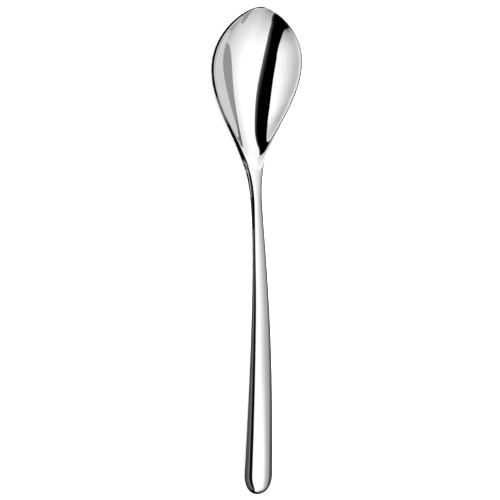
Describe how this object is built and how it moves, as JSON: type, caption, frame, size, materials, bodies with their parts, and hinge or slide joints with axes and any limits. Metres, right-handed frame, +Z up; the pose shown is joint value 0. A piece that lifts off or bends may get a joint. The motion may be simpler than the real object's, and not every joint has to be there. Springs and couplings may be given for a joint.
{
  "type": "table spoon",
  "caption": "Polished steel table spoon with a deep pointed-oval bowl, a slim neck and a rounded hollow handle, for eating and serving.",
  "frame": {"origin": "on the table under the middle of the spoon's length, where it lies on its bowl and the end of its handle", "axes": "+Y along the spoon towards the tip of the bowl, +Z up out of the bowl, +X to the right seen from above with the tip ahead"},
  "size_m": [0.0426, 0.2048, 0.0149],
  "materials": {
    "polished_stainless_steel": "polished",
    "filling_compound": "matte"
  },
  "bodies": {
    "root": {"bowl_and_neck": "polished_stainless_steel", "handle_upper_shell": "polished_stainless_steel", "handle_lower_shell": "polished_stainless_steel", "handle_filling": "filling_compound"}
  },
  "joints": []
}
